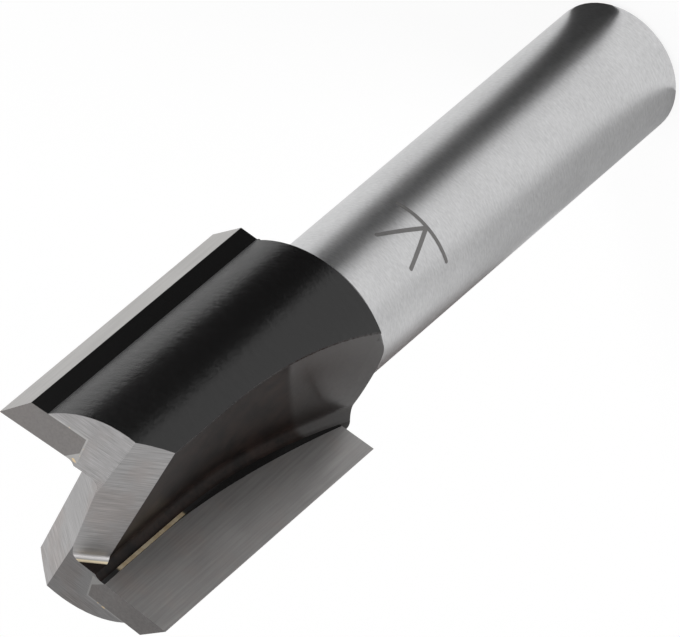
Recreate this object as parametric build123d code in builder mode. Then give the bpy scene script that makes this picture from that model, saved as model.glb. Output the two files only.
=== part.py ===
from build123d import *
import os
from math import cos, radians, sin, sqrt, tan

# A straight router bit with a round shank, two brazed carbide plates and a
# head with two straight flutes. All sizes are in millimetres. The bit stands
# on the flat end of its shank, with its axis on Z and its cutting end up.

# Overall sizes
total_length = 53.0
cutting_diameter = 14.0
cutting_length = 20.0
shank_diameter = 8.0
head_diameter = 12.0
neck_fillet = 1.4
shank_chamfer = 0.4
head_edge_break = 0.12

# Carbide plates, each seen along the axis from its cutting corner: the width
# runs inward along the rake face and the thickness runs back from it
rake_angle = 24.2
relief_angle = 15.4
plate_width = 4.72
plate_thickness = 1.55
plate_corner_chamfer = 0.65
braze_gap = 0.1

# Chip flutes: a flat floor that opens from the rake wall, then rises to the
# head's back end on an arc
floor_distance = 1.77
floor_draft = 5.8
runout_start = 7.5
runout_radius = 40.0
flute_fillet = 0.55

# Ground cutting end: a dished and relieved face on each wing, and a bevel
# ground down from the middle beside each wing
end_dish = 2.3
end_relief = 8.7
gash_slope = 43.0
ridge_drop = 0.1
gash_wall_offset = 0.2
gash_fillet = 0.35

# Sizes that follow from those above
cutting_radius = cutting_diameter / 2
shank_radius = shank_diameter / 2
head_radius = head_diameter / 2
head_bottom = total_length - cutting_length
neck_bottom = head_bottom - neck_fillet
reach = cutting_radius + 3.0

# Directions of the first wing: along its rake face towards the axis, and
# back from the rake face into the wing
rake_inward = Vector(-cos(radians(rake_angle)), -sin(radians(rake_angle)), 0)
wing_back = Vector(sin(radians(rake_angle)), -cos(radians(rake_angle)), 0)
axis_along_rake = cutting_radius * cos(radians(rake_angle))
heel_along_rake = plate_thickness * tan(radians(rake_angle + relief_angle))
cutting_corner = Vector(cutting_radius, 0, total_length)

# The first wing's plan: x runs inward along the rake face, y runs back
wing_plan = Plane(origin=cutting_corner, x_dir=rake_inward, z_dir=(0, 0, 1))

# The first wing's side view: x runs inward along the rake face, y runs from
# the cutting end towards the shank
wing_side = Plane(origin=cutting_corner, x_dir=rake_inward, z_dir=wing_back)

# The flute floor's side view: x runs straight out of the floor, y runs from
# the cutting end towards the shank
floor_turn = radians(rake_angle - floor_draft)
floor_side = Plane(
    origin=(0, 0, total_length),
    x_dir=(cos(floor_turn), sin(floor_turn), 0),
    z_dir=(-sin(floor_turn), cos(floor_turn), 0),
)


# Plane of the first wing's ground end, facing away from the bit
end_slope = rake_inward * tan(radians(end_dish)) + wing_back * tan(radians(end_relief))
end_plane = Plane(origin=cutting_corner, z_dir=(end_slope.X, end_slope.Y, 1))

# Space ground off above the first wing's end
with BuildPart() as ground_off:
    with BuildSketch(end_plane):
        Rectangle(8 * reach, 8 * reach)
    extrude(amount=reach)

# Space cleared for the first wing's flute
runout_end = 28.0
runout_rise = runout_radius - sqrt(runout_radius**2 - (runout_end - runout_start) ** 2)
runout_middle = (runout_start + runout_end) / 2
middle_rise = runout_radius - sqrt(runout_radius**2 - (runout_middle - runout_start) ** 2)

with BuildPart() as flute_space:
    with BuildSketch(floor_side):
        with BuildLine():
            Line((floor_distance, -1), (floor_distance, runout_start))
            ThreePointArc(
                (floor_distance, runout_start),
                (floor_distance + middle_rise, runout_middle),
                (floor_distance + runout_rise, runout_end),
            )
            Polyline(
                (floor_distance + runout_rise, runout_end),
                (reach + 4, runout_end),
                (reach + 4, -1),
                (floor_distance, -1),
            )
        make_face()
    extrude(amount=2 * reach, both=True)
    split(
        bisect_by=Plane(origin=cutting_corner, z_dir=-wing_back),
        keep=Keep.TOP,
    )
    # The corner between the rake wall and the floor is rounded
    floor_corner = [
        edge
        for edge in flute_space.edges()
        if abs((edge @ 0.5 - cutting_corner).dot(wing_back)) < 0.01
        and floor_distance - 0.1
        < (edge @ 0.5).dot(floor_side.x_dir)
        < floor_distance + runout_rise - 0.1
        and -runout_end < (edge @ 0.5).Z - total_length < 0
    ]
    fillet(floor_corner, radius=flute_fillet)

# Space cleared beside the first wing by the bevelled gash
gash_drop = tan(radians(gash_slope))
gash_top = axis_along_rake + (ridge_drop + 1) / gash_drop
gash_depth = ridge_drop + gash_drop * (axis_along_rake + 3)

with BuildPart() as gash_space:
    with BuildSketch(wing_side.offset(-gash_wall_offset)):
        Polygon((gash_top, -1), (-3, -1), (-3, gash_depth), align=None)
    extrude(amount=-reach - 4)
    gash_corner = [
        edge
        for edge in gash_space.edges()
        if abs((edge @ 0.5 - cutting_corner).dot(wing_back) + gash_wall_offset) < 0.01
        and (edge @ 0.5).Z < total_length + 0.9
        and (edge @ 0.5 - cutting_corner).dot(rake_inward) > -2.9
    ]
    fillet(gash_corner, radius=gash_fillet)

# Seat milled in the head for the first plate and its braze
with BuildPart() as plate_seat:
    with BuildSketch(wing_plan.offset(1)):
        with Locations(((plate_width + braze_gap - 3) / 2, (plate_thickness + braze_gap) / 2)):
            Rectangle(plate_width + braze_gap + 3, plate_thickness + braze_gap)
    extrude(amount=-cutting_length - 1)

# Steel body: shank, neck and head turned from one bar
with BuildPart() as steel_body:
    with BuildSketch(Plane.XZ):
        with BuildLine():
            Polyline(
                (0, 0),
                (shank_radius - shank_chamfer, 0),
                (shank_radius, shank_chamfer),
                (shank_radius, neck_bottom),
            )
            RadiusArc(
                (shank_radius, neck_bottom),
                (shank_radius + neck_fillet, head_bottom),
                -neck_fillet,
            )
            Polyline(
                (shank_radius + neck_fillet, head_bottom),
                (head_radius - head_edge_break, head_bottom),
                (head_radius, head_bottom + head_edge_break),
                (head_radius, total_length + 1),
                (0, total_length + 1),
                (0, 0),
            )
        make_face()
    revolve(axis=Axis.Z)
    for turn in (0, 180):
        add(flute_space.part.rotate(Axis.Z, turn), mode=Mode.SUBTRACT)
        add(gash_space.part.rotate(Axis.Z, turn), mode=Mode.SUBTRACT)
        add(plate_seat.part.rotate(Axis.Z, turn), mode=Mode.SUBTRACT)
        add(ground_off.part.rotate(Axis.Z, turn), mode=Mode.SUBTRACT)

# First carbide plate, with the inner corner of its rake face bevelled for braze
with BuildPart() as carbide_tip_1:
    with BuildSketch(wing_plan.offset(1)):
        Polygon(
            (0, 0),
            (plate_width - plate_corner_chamfer, 0),
            (plate_width, plate_corner_chamfer),
            (plate_width, plate_thickness),
            (heel_along_rake, plate_thickness),
            align=None,
        )
    extrude(amount=-cutting_length - 1)
    add(ground_off.part, mode=Mode.SUBTRACT)

# First braze layer: it fills the seat behind and inside the plate, and stops
# at the head's round outside
with BuildPart() as braze_layer_1:
    with BuildSketch(wing_plan.offset(1)):
        Polygon(
            (0, plate_thickness),
            (plate_width, plate_thickness),
            (plate_width, plate_corner_chamfer),
            (plate_width - plate_corner_chamfer, 0),
            (plate_width + braze_gap, 0),
            (plate_width + braze_gap, plate_thickness + braze_gap),
            (0, plate_thickness + braze_gap),
            align=None,
        )
    extrude(amount=-cutting_length - 1)
    with BuildSketch(Plane.XY.offset(head_bottom)):
        Circle(head_radius)
    extrude(amount=cutting_length + 2, mode=Mode.INTERSECT)
    add(ground_off.part, mode=Mode.SUBTRACT)

# The second plate and its braze are the first pair turned half way round
with BuildPart() as carbide_tip_2:
    add(carbide_tip_1.part.rotate(Axis.Z, 180))

with BuildPart() as braze_layer_2:
    add(braze_layer_1.part.rotate(Axis.Z, 180))

os.makedirs("parts", exist_ok=True)

steel_body.part.label = "steel_body"
export_step(steel_body.part, "parts/steel_body.step")

carbide_tip_1.part.label = "carbide_tip_1"
export_step(carbide_tip_1.part, "parts/carbide_tip_1.step")

carbide_tip_2.part.label = "carbide_tip_2"
export_step(carbide_tip_2.part, "parts/carbide_tip_2.step")

braze_layer_1.part.label = "braze_layer_1"
export_step(braze_layer_1.part, "parts/braze_layer_1.step")

braze_layer_2.part.label = "braze_layer_2"
export_step(braze_layer_2.part, "parts/braze_layer_2.step")
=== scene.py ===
"""Looks of the straight router bit: ground steel, carbide, braze and black paint.

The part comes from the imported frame. Its plates and body keep their CAD
meshes and get their finishes here. The insertion mark is a thin piece of its
own on the shank.
"""

from math import cos, pi, radians, sin

import bpy
from mathutils import Matrix, Vector


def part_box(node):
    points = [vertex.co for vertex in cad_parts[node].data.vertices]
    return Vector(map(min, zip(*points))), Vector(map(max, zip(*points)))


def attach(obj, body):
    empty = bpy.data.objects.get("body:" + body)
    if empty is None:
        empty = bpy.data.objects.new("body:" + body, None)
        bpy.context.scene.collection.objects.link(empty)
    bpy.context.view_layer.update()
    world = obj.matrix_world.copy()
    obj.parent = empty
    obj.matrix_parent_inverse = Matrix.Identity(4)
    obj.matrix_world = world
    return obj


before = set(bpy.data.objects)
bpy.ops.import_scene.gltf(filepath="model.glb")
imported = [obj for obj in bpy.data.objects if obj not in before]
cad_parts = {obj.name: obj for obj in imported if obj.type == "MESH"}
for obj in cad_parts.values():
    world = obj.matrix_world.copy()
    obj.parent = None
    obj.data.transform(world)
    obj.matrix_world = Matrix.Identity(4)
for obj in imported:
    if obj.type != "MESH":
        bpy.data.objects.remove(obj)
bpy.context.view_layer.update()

bl_info = {
    "name": "Straight Router Bit",
    "version": (1, 0, 0),
    "blender": (4, 5, 0),
    "location": "View3D > Sidebar > Router Bit",
    "description": "Dresses the packed router bit and sets its studio",
    "category": "Object",
}

MM = 0.001
TIP_LOW, TIP_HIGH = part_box("carbide_tip_1")
CUTTING_RADIUS = TIP_HIGH[0]
TOP_Z = TIP_HIGH[2]
HEAD_BOTTOM = TIP_LOW[2]
HEAD_LENGTH = TOP_Z - HEAD_BOTTOM

# Strokes of the insertion mark, each from one place to another: turns round the
# shank in degrees, and millimetres above the mark's line
MARK_STROKES = (
    ((-55.0, -115.0), (0.0, 0.0)),
    ((-84.7, -64.3), (0.1, 3.0)),
    ((-84.7, -100.8), (0.1, 2.8)),
)


class BitSizes(bpy.types.PropertyGroup):
    """Sizes that the finishes follow."""

    rake_angle: bpy.props.FloatProperty(
        name="Rake angle", description="Lean of each plate's rake face",
        default=radians(24.2), subtype="ANGLE")
    relief_angle: bpy.props.FloatProperty(
        name="Relief angle", description="Lean of each plate's outer face",
        default=radians(15.4), subtype="ANGLE")
    head_radius: bpy.props.FloatProperty(
        name="Head radius", description="Outside of the painted head",
        default=6.0 * MM, unit="LENGTH")
    shank_radius: bpy.props.FloatProperty(
        name="Shank radius", description="Outside of the ground shank",
        default=4.0 * MM, unit="LENGTH")
    neck_paint: bpy.props.FloatProperty(
        name="Paint below the head", description="How far the head's paint runs down the neck",
        default=1.38 * MM, unit="LENGTH")
    end_paint: bpy.props.FloatProperty(
        name="Paint from the tip", description="Depth from the tip where bare steel gives out",
        default=3.6 * MM, unit="LENGTH")
    ground_width: bpy.props.FloatProperty(
        name="Ground width", description="Bright rake face width at the tip",
        default=4.05 * MM, unit="LENGTH")
    ground_loss: bpy.props.FloatProperty(
        name="Ground width loss", description="Bright width lost by the head's back end",
        default=1.95 * MM, unit="LENGTH")
    narrowing_start: bpy.props.FloatProperty(
        name="Narrowing start", description="Depth from the tip where the bright width narrows",
        default=6.0 * MM, unit="LENGTH")
    braze_length: bpy.props.FloatProperty(
        name="Bare braze", description="Depth from the tip where paint covers the braze",
        default=7.6 * MM, unit="LENGTH")
    mark_height: bpy.props.FloatProperty(
        name="Mark height", description="Insertion mark above the shank's end",
        default=23.9 * MM, unit="LENGTH")
    mark_width: bpy.props.FloatProperty(
        name="Mark line width", description="Width of the insertion mark's lines",
        default=0.26 * MM, unit="LENGTH")


class BitColours(bpy.types.PropertyGroup):
    """Colours of the finishes."""

    shank: bpy.props.FloatVectorProperty(
        name="Shank steel", description="Ground shank", subtype="COLOR",
        default=(0.60, 0.60, 0.605))
    end_steel: bpy.props.FloatVectorProperty(
        name="Ground steel", description="Ground faces of the cutting end", subtype="COLOR",
        default=(0.54, 0.53, 0.53))
    end_stain: bpy.props.FloatVectorProperty(
        name="Stained steel", description="Warm stains on the cutting end", subtype="COLOR",
        default=(0.50, 0.45, 0.43))
    carbide: bpy.props.FloatVectorProperty(
        name="Carbide", description="Ground carbide", subtype="COLOR",
        default=(0.36, 0.35, 0.345))
    carbide_stain: bpy.props.FloatVectorProperty(
        name="Stained carbide", description="Warm stains on the carbide", subtype="COLOR",
        default=(0.40, 0.35, 0.33))
    carbide_end: bpy.props.FloatVectorProperty(
        name="Carbide end", description="End faces of the plates", subtype="COLOR",
        default=(0.38, 0.355, 0.345))
    relief: bpy.props.FloatVectorProperty(
        name="Relief strip", description="Outer face of each plate", subtype="COLOR",
        default=(0.42, 0.41, 0.40))
    paint: bpy.props.FloatVectorProperty(
        name="Head paint", description="Black paint on the head", subtype="COLOR",
        default=(0.008, 0.0078, 0.0078))
    # Painted reflection: a brown tint mottled over the flutes' glossy paint
    flute_painted_reflection: bpy.props.FloatVectorProperty(
        name="Thin paint", description="Where the flutes' paint lets the steel through",
        subtype="COLOR", default=(0.022, 0.0145, 0.012))
    # Painted sheen: the flutes' run-out drawn in lighter grey paint
    runout_painted_sheen: bpy.props.FloatVectorProperty(
        name="Worn paint", description="Paint worn by chips at the run-out", subtype="COLOR",
        default=(0.074, 0.072, 0.071))
    dull_paint: bpy.props.FloatVectorProperty(
        name="Dull paint", description="Matt paint in the flutes", subtype="COLOR",
        default=(0.007, 0.0055, 0.0052))
    # Painted reflection: a brown mottle over the flutes' matt paint
    matt_painted_reflection: bpy.props.FloatVectorProperty(
        name="Dusty paint", description="Brown dust on the matt paint", subtype="COLOR",
        default=(0.026, 0.0165, 0.0135))
    braze: bpy.props.FloatVectorProperty(
        name="Braze", description="Silver braze", subtype="COLOR",
        default=(0.88, 0.76, 0.55))
    braze_grain: bpy.props.FloatVectorProperty(
        name="Braze grain", description="Darker grains of the braze", subtype="COLOR",
        default=(0.62, 0.47, 0.28))
    braze_smear: bpy.props.FloatVectorProperty(
        name="Ground braze", description="Braze smeared grey by grinding", subtype="COLOR",
        default=(0.30, 0.295, 0.29))
    mark: bpy.props.FloatVectorProperty(
        name="Laser mark", description="Darkened steel of the mark", subtype="COLOR",
        default=(0.16, 0.155, 0.155))
    mark_grain: bpy.props.FloatVectorProperty(
        name="Mark grain", description="Lighter grains of the mark", subtype="COLOR",
        default=(0.24, 0.235, 0.23))
    floor: bpy.props.FloatVectorProperty(
        name="Floor", description="Pale studio floor", subtype="COLOR",
        default=(0.80, 0.80, 0.80))


def sizes():
    return bpy.context.scene.bit_sizes


def colours():
    return bpy.context.scene.bit_colours


class Value:
    """A number over the surface: an expression on it adds its Math nodes."""

    def __init__(self, nodes, socket):
        self.nodes = nodes
        self.socket = socket

    def _math(self, operation, *terms):
        return self.nodes.value("ShaderNodeMath", {"operation": operation},
                                dict(enumerate(terms)))

    def __add__(self, other):
        return self._math("ADD", self, other)

    __radd__ = __add__

    def __sub__(self, other):
        return self._math("SUBTRACT", self, other)

    def __rsub__(self, other):
        return self._math("SUBTRACT", other, self)

    def __mul__(self, other):
        return self._math("MULTIPLY", self, other)

    __rmul__ = __mul__

    def __gt__(self, other):
        return self._math("GREATER_THAN", self, other)

    def __lt__(self, other):
        return self._math("LESS_THAN", self, other)

    def __or__(self, other):
        return self._math("MAXIMUM", self, other)

    def power(self, exponent):
        return self._math("POWER", self, exponent)

    def angle_with(self, other):
        return self._math("ARCTAN2", self, other)

    def capped(self):
        """The value kept from 0 to 1, with soft ends."""
        return self.ramp(0.0, 1.0)

    def ramp(self, start, end, low=0.0, high=1.0):
        """Smooth step from low to high as the value goes from start to end."""
        return self.nodes.value(
            "ShaderNodeMapRange", {"interpolation_type": "SMOOTHSTEP"},
            {"Value": self, "From Min": start, "From Max": end,
             "To Min": low, "To Max": high}, "Result")


class Nodes:
    """The node tree of a material or of the world."""

    def __init__(self, owner):
        owner.use_nodes = True
        self.tree = owner.node_tree

    def fill(self, node, inputs):
        """Set or link a node's sockets. A colour may have three parts."""
        for key, given in inputs.items():
            socket = node.inputs[key]
            source = given.socket if isinstance(given, Value) else given
            if isinstance(source, bpy.types.NodeSocket):
                self.tree.links.new(source, socket)
            elif socket.type == "RGBA":
                socket.default_value = (*source, 1.0)
            else:
                socket.default_value = source

    def node(self, kind, settings=None, inputs=None):
        """Add a node: its settings first, then its sockets."""
        new = self.tree.nodes.new(kind)
        for key, setting in (settings or {}).items():
            setattr(new, key, setting)
        self.fill(new, inputs or {})
        return new

    def value(self, kind, settings, inputs, output=0):
        """Add a node and work on with one of its outputs as a number."""
        return Value(self, self.node(kind, settings, inputs).outputs[output])

    def rays(self, *kinds):
        """1 for light paths of any of these kinds, such as Camera or Glossy."""
        path = self.node("ShaderNodeLightPath")
        found = [Value(self, path.outputs[f"Is {kind} Ray"]) for kind in kinds]
        seen = found[0]
        for more in found[1:]:
            seen = seen | more
        return seen


class Shader(Nodes):
    """One material's nodes, round its Principled shader."""

    def __init__(self, name, constants):
        self.material = bpy.data.materials.new(name)
        super().__init__(self.material)
        self.surface = self.tree.nodes["Principled BSDF"]
        self.fill(self.surface, constants)

    def feed(self, name, source):
        self.fill(self.surface, {name: source})

    def blend(self, mask, other):
        """Show another shader over the Principled one where the mask is 1."""
        both = self.node("ShaderNodeMixShader", {}, {
            0: mask, 1: self.surface.outputs[0], 2: other.outputs[0]})
        self.fill(self.tree.nodes["Material Output"], {"Surface": both.outputs[0]})


class Finish(Shader):
    """A material that follows places on the bit, in the object's own axes."""

    def __init__(self, name, constants):
        super().__init__(name, constants)
        self.place = self.node("ShaderNodeTexCoord").outputs["Object"]
        self.x, self.y, self.z = self.parts(self.place)
        self.depth = TOP_Z - self.z

    def parts(self, vector):
        split = self.node("ShaderNodeSeparateXYZ", {}, {0: vector})
        return tuple(Value(self, out) for out in split.outputs)

    def facing(self):
        """The true normal's x, y and z."""
        return self.parts(self.node("ShaderNodeTexCoord").outputs["Normal"])

    def plate_place(self):
        """Each point as its own plate sees it: the side of the bit, 1 or -1, how
        far inward along the rake face from the cutting corner, and how far back
        from that face."""
        lean = sizes().rake_angle
        side = (self.x > 0.0) * 2.0 - 1.0
        x = self.x * side - CUTTING_RADIUS
        y = self.y * side
        along = x * -cos(lean) + y * -sin(lean)
        back = x * sin(lean) + y * -cos(lean)
        return side, along, back

    def vector(self, x, y, z):
        return self.node("ShaderNodeCombineXYZ", {}, {0: x, 1: y, 2: z}).outputs[0]

    def noise(self, vector, scale, detail=3.0, roughness=0.55):
        """Noise with so many waves to the metre along each axis of the vector."""
        return self.value("ShaderNodeTexNoise", {}, {
            "Vector": vector, "Scale": scale, "Detail": detail, "Roughness": roughness}, "Fac")

    def mix(self, mask, first, second):
        """Colour that goes from first to second as the mask goes from 0 to 1."""
        return self.node("ShaderNodeMix", {"data_type": "RGBA"},
                         {0: mask, 6: first, 7: second}).outputs[2]

    def shaded(self, base, tone):
        """A colour made darker or lighter by a number over the surface."""
        grey = self.node("ShaderNodeCombineColor", {}, {0: tone, 1: tone, 2: tone}).outputs[0]
        return self.node("ShaderNodeMix", {"data_type": "RGBA", "blend_type": "MULTIPLY"},
                         {0: 1.0, 6: base, 7: grey}).outputs[2]

    def bump(self, height, distance, strength):
        self.feed("Normal", self.node("ShaderNodeBump", {}, {
            "Height": height, "Distance": distance, "Strength": strength}).outputs["Normal"])


def steel_finish():
    """Ground shank, ground cutting end and painted head of the steel body."""
    size, colour = sizes(), colours()
    steel = Finish("ground_and_painted_steel", {"Specular IOR Level": 0.38})
    x, y, z, depth = steel.x, steel.y, steel.z, steel.depth
    _, _, up = steel.facing()
    _, _, back = steel.plate_place()
    radius = (x * x + y * y).power(0.5)
    lean = size.rake_angle

    # Bare steel: what faces up near the tip, and the shank below the neck's paint
    soft_edge, waviness = 0.08 * MM, 0.3 * MM
    bare_end = up.ramp(0.30, 0.42) * depth.ramp(size.end_paint + 0.6 * MM, size.end_paint)
    wavy_z = z + steel.noise(steel.place, 700.0) * waviness
    paint_stop = HEAD_BOTTOM - size.neck_paint
    bare_shank = wavy_z.ramp(paint_stop, paint_stop - soft_edge)
    bare = (bare_end + bare_shank).capped()

    # Fine rings on the shank and straight grinding lines on the end
    turn = y.angle_with(x)
    rings = steel.noise(steel.vector(turn * 0.0012, z * 0.9, 0.0), 9000.0, 3.0, 0.7)
    blotch = steel.noise(steel.place, 420.0)
    across = x * sin(lean) - y * cos(lean)
    lines = steel.noise(
        steel.vector(across * 14.0, (x * cos(lean) + y * sin(lean)) * 0.5, 0.0), 1500.0, 4.0)
    shank_tone = rings * 0.62 + blotch * 0.20 + 0.60
    # Painted shade: ground end faces that look straight up are drawn down to half as bright
    painted_shade_facing_up = up.ramp(0.86, 0.97, 1.0, 0.50)
    end_tone_and_shade = (lines * 1.10 + blotch * 0.20 + 0.28) * painted_shade_facing_up
    stain = steel.noise(steel.place, 300.0, 4.0, 0.6).ramp(0.48, 0.66, 0.0, 0.5)
    ground = steel.mix(stain, steel.shaded(colour.end_steel, end_tone_and_shade),
                       steel.shaded(colour.end_stain, end_tone_and_shade))
    metal = steel.mix(bare_shank, ground, steel.shaded(colour.shank, shank_tone))

    # Braze squeezed out along the foot of the gash's wall, where its fillet turns up
    fillet_only = up.ramp(0.05, 0.14) * up.ramp(0.44, 0.34)
    gold = fillet_only * depth.ramp(2.0 * MM, 1.8 * MM)

    # Paint: glossy on the head, with a mottled brown painted reflection in the flutes and a
    # painted sheen at their run-out, lighter towards the outside
    # Noise that mottles the flutes' brown painted reflection
    mottle = steel.noise(steel.place, 900.0, 4.0, 0.65)
    below_head = size.head_radius - radius
    flute = below_head.ramp(0.10 * MM, 0.22 * MM)
    slanted_depth = depth - back * 0.6
    runout = slanted_depth.ramp(17.3 * MM, 17.9 * MM)
    # Painted sheen, lighter towards the outside of the run-out
    sheen_towards_rim = radius.ramp(3.6 * MM, 5.9 * MM, 0.0, 0.9)
    paint = steel.mix(flute * mottle, colour.paint, colour.flute_painted_reflection)
    paint = steel.mix(flute * runout * sheen_towards_rim, paint, colour.runout_painted_sheen)
    brushed = steel.noise(steel.vector(turn * 0.0035, z, 0.0), 2600.0, 4.0, 0.7)

    steel.feed("Base Color", steel.mix(gold, steel.mix(bare, paint, metal), colour.braze))
    steel.feed("Metallic", (bare + gold).capped())
    paint_rough = brushed * 0.14 + flute * 0.08 + 0.17
    metal_rough = rings * 0.14 + 0.33 + bare_end * 0.04
    steel.feed("Roughness", paint_rough * (1.0 - bare) + metal_rough * bare)
    steel.bump(rings * 0.35 * bare_shank + lines * 0.9 * bare_end
               + brushed * 4.5 * (1.0 - bare) * (1.0 - flute * 0.7), 0.008 * MM, 0.6)

    # Dull paint in the flutes, up to a slanted line in their run-out, with a mottled brown
    # painted reflection
    dull = steel.node("ShaderNodeBsdfPrincipled", {}, {
        "Base Color": steel.mix(mottle.ramp(0.30, 0.75), colour.dull_paint, colour.matt_painted_reflection),
        "Roughness": 0.34, "Specular IOR Level": 0.09})
    steel.blend(flute * (1.0 - bare) * (1.0 - gold) * (1.0 - runout), dull)
    return steel.material


def ground_line(depth):
    """Width of bright ground rake face at each depth from the tip."""
    size = sizes()
    narrowing_length = HEAD_LENGTH - size.narrowing_start
    past = ((depth - size.narrowing_start) | 0.0) * (1.0 / narrowing_length)
    return size.ground_width - past.power(1.7) * size.ground_loss


def carbide_finish():
    """Ground carbide: brushed rake face, pale relief strip and painted edges."""
    size, colour = sizes(), colours()
    carbide = Finish("ground_carbide", {})
    side, along, back = carbide.plate_place()
    face_x, face_y, up = carbide.facing()
    lean, relief = size.rake_angle, size.relief_angle

    # Which face a point is on, from its true normal
    outward = (face_x * cos(relief) - face_y * sin(relief)) * side
    relief_face = outward.ramp(0.93, 0.97)
    forward = (face_y * cos(lean) - face_x * sin(lean)) * side
    rake_face = forward.ramp(0.90, 0.96)
    end_face = up.ramp(0.6, 0.8)
    ground = rake_face * (along < ground_line(carbide.depth)) + relief_face + end_face
    bare = ground.capped()

    # Grinding lines lengthwise on the rake face and crosswise on the end
    lengthwise = carbide.noise(
        carbide.vector(along * 3.0, back * 3.0, carbide.z * 0.10), 2400.0, 4.0, 0.6)
    crosswise = carbide.noise(
        carbide.vector(along * 0.4, back * 6.0, carbide.depth * 6.0), 2200.0)
    cloud = carbide.noise(carbide.place, 260.0)
    # End faces drawn darker than the rake face; the +x plate's end is drawn darker still than
    # the other's, which is painted shade
    end_tone_and_shade = 1.0 - end_face * (side * 0.07 + 0.56)
    tone = (lengthwise * 0.60 + cloud * 0.30 + 0.58) * end_tone_and_shade

    stain = carbide.noise(carbide.place, 420.0, 4.0, 0.6).ramp(0.48, 0.75, 0.0, 0.5)
    face = carbide.mix(stain, colour.carbide, colour.carbide_stain)
    face = carbide.mix(end_face * 0.6, face, colour.carbide_end)
    face = carbide.mix(relief_face, face, colour.relief)
    carbide.feed("Base Color", carbide.mix(bare, colour.paint, carbide.shaded(face, tone)))
    carbide.feed("Metallic", bare * 0.9)
    carbide.feed("Roughness", bare * (lengthwise * 0.12 + 0.12) + 0.24)
    carbide.bump(lengthwise * rake_face + crosswise * end_face * 0.6, 0.005 * MM, 0.5)
    return carbide.material


def braze_finish():
    """Pale golden braze, painted over past the run-out's start."""
    size, colour = sizes(), colours()
    braze = Finish("silver_braze", {})
    _, along, back = braze.plate_place()
    _, _, up = braze.facing()
    depth = braze.depth
    grain = braze.noise(braze.place, 1600.0, 4.0, 0.6)

    # A strip shows beside the rake face, and the layer's end on the tip
    strip_start, strip_edge, skin = 1.5 * MM, 4.34 * MM, 0.02 * MM
    strip = (depth.ramp(strip_start, strip_start + 0.4 * MM)
             * depth.ramp(size.braze_length, size.braze_length + 0.3 * MM, 1.0, 0.0)
             * along.ramp(strip_edge, strip_edge + 0.06 * MM, 1.0, 0.0))
    tip = up.ramp(0.5, 0.7)
    shown = (strip * (back < skin) + tip).capped()

    speck = 1.0 - tip * grain.ramp(0.66, 0.60)
    gold = braze.mix(grain.ramp(0.3, 0.7), colour.braze, colour.braze_grain)
    gold = braze.mix(speck, colour.braze_smear, gold)
    braze.feed("Base Color", braze.mix(shown, colour.paint, gold))
    braze.feed("Metallic", shown * 0.7)
    braze.feed("Roughness", grain * 0.3 + 0.28)
    braze.bump(grain, 0.02 * MM, 0.6)
    return braze.material


def mark_finish():
    """Steel darkened by a laser."""
    colour = colours()
    mark = Finish("laser_mark", {"Metallic": 0.6})
    grain = mark.noise(mark.place, 3500.0)
    mark.feed("Base Color", mark.mix(grain, colour.mark, colour.mark_grain))
    mark.feed("Roughness", grain * 0.2 + 0.45)
    return mark.material


def dress(kind, material):
    """Give the frame's nodes of one kind, such as both plates, their finish."""
    for node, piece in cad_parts.items():
        if node.startswith(kind):
            piece.data.materials.clear()
            piece.data.materials.append(material)


class BIT_OT_body(bpy.types.Operator):
    """Finish the steel body: ground shank and end, painted head"""
    bl_idname = "bit.body"
    bl_label = "Dress steel body"

    def execute(self, context):
        dress("steel_body", steel_finish())
        return {"FINISHED"}


class BIT_OT_tips(bpy.types.Operator):
    """Finish the two carbide plates"""
    bl_idname = "bit.tips"
    bl_label = "Dress carbide tips"

    def execute(self, context):
        dress("carbide_tip", carbide_finish())
        return {"FINISHED"}


class BIT_OT_braze(bpy.types.Operator):
    """Finish the two braze layers"""
    bl_idname = "bit.braze"
    bl_label = "Dress braze layers"

    def execute(self, context):
        dress("braze_layer", braze_finish())
        return {"FINISHED"}


def add_mesh(name, corners, faces, material):
    """Make an object of a plain mesh and put it in the scene."""
    mesh = bpy.data.meshes.new(name)
    mesh.from_pydata(corners, [], faces)
    mesh.materials.append(material)
    made = bpy.data.objects.new(name, mesh)
    bpy.context.scene.collection.objects.link(made)
    return made


def mark_stroke(turns, heights, width, radius):
    """Corners and faces of a thin round-ended line on the shank."""
    steps, cap_steps = 24, 5
    reach = Vector(((turns[1] - turns[0]) * radius, heights[1] - heights[0]))
    along = reach.normalized() * width / 2
    aside = Vector((-along.y, along.x))

    # Each row: its share of the reach, half width and push past the line's end
    bends = [pi / 2 * k / cap_steps for k in range(cap_steps + 1)]
    rows = [(0.0, sin(bend), -cos(bend)) for bend in bends[:-1]]
    rows += [(k / steps, 1.0, 0.0) for k in range(steps + 1)]
    rows += [(1.0, cos(bend), sin(bend)) for bend in bends[1:]]
    corners = []
    for share, spread, push in rows:
        for sign in (1, -1):
            spot = reach * share + along * push + aside * spread * sign
            turn = turns[0] + spot.x / radius
            corners.append((radius * cos(turn), radius * sin(turn), heights[0] + spot.y))
    faces = [(k, k + 1, k + 3, k + 2) for k in range(0, 2 * len(rows) - 2, 2)]
    return corners, faces


class BIT_OT_mark(bpy.types.Operator):
    """Add the generic insertion mark: a line round the shank and two strokes"""
    bl_idname = "bit.mark"
    bl_label = "Add insertion mark"

    def execute(self, context):
        size = sizes()
        proud = 0.004 * MM
        corners, faces = [], []
        for turns, rises in MARK_STROKES:
            spots, strips = mark_stroke(
                [radians(turn) for turn in turns],
                [size.mark_height + rise * MM for rise in rises],
                size.mark_width, size.shank_radius + proud)
            faces += [tuple(i + len(corners) for i in strip) for strip in strips]
            corners += spots
        mark = add_mesh("insertion_mark", corners, faces, mark_finish())
        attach(mark, "root")
        return {"FINISHED"}


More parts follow.
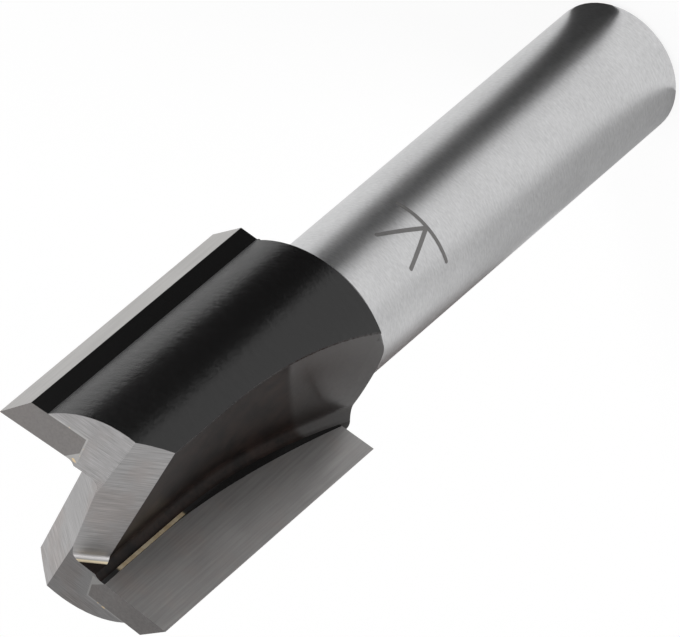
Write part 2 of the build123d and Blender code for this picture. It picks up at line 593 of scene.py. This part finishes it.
def soft_lamp(name, place, target, width, height, power):
    lamp = bpy.data.lights.new(name, "AREA")
    lamp.shape = "RECTANGLE"
    lamp.size, lamp.size_y, lamp.energy = width, height, power
    holder = bpy.data.objects.new(name, lamp)
    holder.location = place
    holder.rotation_euler = (Vector(target) - Vector(place)).to_track_quat("-Z", "Y").to_euler()
    bpy.context.scene.collection.objects.link(holder)


def pale_floor():
    """Floor that the camera and mirrors see as white, with the bit's shadow."""
    white_share = 0.72
    stage = Shader("pale_floor", {
        "Base Color": colours().floor, "Roughness": 0.9, "Specular IOR Level": 0.1})
    white = stage.node("ShaderNodeEmission", {}, {"Strength": 1.12})
    # Part of the lit floor stays in the mix, so the shadow stays too
    stage.blend(stage.rays("Camera", "Glossy", "Transmission") * white_share, white)
    half = 0.6
    corners = [(-half, -half, 0), (half, -half, 0), (half, half, 0), (-half, half, 0)]
    add_mesh("floor", corners, [(0, 1, 2, 3)], stage.material)


def studio_card(name, azimuth, spread, near, far, colour, glow=0.0):
    """Card lying beside the bit that only the metal sees, as a soft band."""
    lift = 0.0004
    first, last = radians(azimuth - spread), radians(azimuth + spread)
    card = Shader(name, {
        "Base Color": colour, "Roughness": 1.0, "Specular IOR Level": 0.0,
        "Emission Color": (1.0, 1.0, 1.0), "Emission Strength": glow})
    corners = [(reach * cos(turn), reach * sin(turn), lift)
               for reach, turn in ((near, first), (far, first), (far, last), (near, last))]
    holder = add_mesh(name, corners, [(0, 1, 2, 3)], card.material)
    holder.visible_camera = False
    holder.visible_shadow = False
    holder.visible_diffuse = False


def white_world():
    """White where the camera looks past the floor, and softer as a light."""
    light_level = 0.55
    world = bpy.data.worlds.new("studio")
    sky = Nodes(world)
    seen = sky.rays("Camera", "Transmission")
    sky.fill(sky.tree.nodes["Background"], {
        "Color": (1.0, 1.0, 1.0), "Strength": seen * (1.0 - light_level) + light_level})
    bpy.context.scene.world = world


def photo_camera():
    """The camera solved from the photo: axes are its right, up and back."""
    right = Vector((-0.5989, -0.5999, -0.5305))
    up = Vector((0.7983, -0.3950, -0.4546))
    back = Vector((0.0632, -0.6958, 0.7155))
    place = Vector((0.03157, -0.35498, 0.39421))
    camera = bpy.data.cameras.new("photo_camera")
    camera.sensor_width = 36.0
    camera.lens = 515.35
    camera.clip_start = 0.01
    camera.clip_end = 10.0
    holder = bpy.data.objects.new("photo_camera", camera)
    turn = Matrix((right, up, back)).transposed().to_4x4()
    holder.matrix_world = Matrix.Translation(place) @ turn
    bpy.context.scene.collection.objects.link(holder)
    bpy.context.scene.camera = holder


class BIT_OT_stage(bpy.types.Operator):
    """Set the floor, the lamps, the white world and the camera"""
    bl_idname = "bit.stage"
    bl_label = "Set the stage"

    def execute(self, context):
        pale_floor()
        white_world()
        middle = (0.0, 0.0, 0.035)
        soft_lamp("key_lamp", (-0.20, -0.22, 0.34), middle, 0.16, 0.30, 0.45)
        soft_lamp("side_lamp", (0.30, -0.10, 0.12), middle, 0.10, 0.30, 0.25)
        soft_lamp("top_lamp", (0.02, 0.16, 0.40), middle, 0.25, 0.12, 0.25)
        inner, joint, outer = 0.0042, 0.036, 0.09
        studio_card("dark_card_near", -26.0, 25.0, inner, joint, (0.02, 0.02, 0.02))
        studio_card("dark_card_far", -31.0, 27.0, joint, outer, (0.0, 0.0, 0.0))
        studio_card("bright_card", 14.0, 18.0, joint, outer, (0.8, 0.8, 0.8), glow=0.45)
        studio_card("grey_card", -178.0, 44.0, inner, joint, (0.60, 0.60, 0.60))
        studio_card("brown_card", 122.0, 42.0, 0.024, 0.066, (0.07, 0.035, 0.025))
        photo_camera()
        context.scene.view_settings.view_transform = "Standard"
        return {"FINISHED"}


OPERATORS = (BIT_OT_body, BIT_OT_tips, BIT_OT_braze, BIT_OT_mark, BIT_OT_stage)


class BIT_PT_panel(bpy.types.Panel):
    """The sizes, the colours and the steps that dress the bit"""
    bl_label = "Router Bit"
    bl_idname = "BIT_PT_panel"
    bl_space_type = "VIEW_3D"
    bl_region_type = "UI"
    bl_category = "Router Bit"

    def draw(self, context):
        scene = context.scene
        for group in (scene.bit_sizes, scene.bit_colours):
            box = self.layout.box()
            for name in type(group).__annotations__:
                box.prop(group, name)
        for operator in OPERATORS:
            self.layout.operator(operator.bl_idname)


CLASSES = (BitSizes, BitColours, *OPERATORS, BIT_PT_panel)


def register():
    for cls in CLASSES:
        bpy.utils.register_class(cls)
    bpy.types.Scene.bit_sizes = bpy.props.PointerProperty(type=BitSizes)
    bpy.types.Scene.bit_colours = bpy.props.PointerProperty(type=BitColours)


def unregister():
    del bpy.types.Scene.bit_colours
    del bpy.types.Scene.bit_sizes
    for cls in reversed(CLASSES):
        bpy.utils.unregister_class(cls)


def main():
    register()
    bpy.ops.bit.body()
    bpy.ops.bit.tips()
    bpy.ops.bit.braze()
    bpy.ops.bit.mark()
    bpy.ops.bit.stage()


if __name__ == "__main__":
    main()
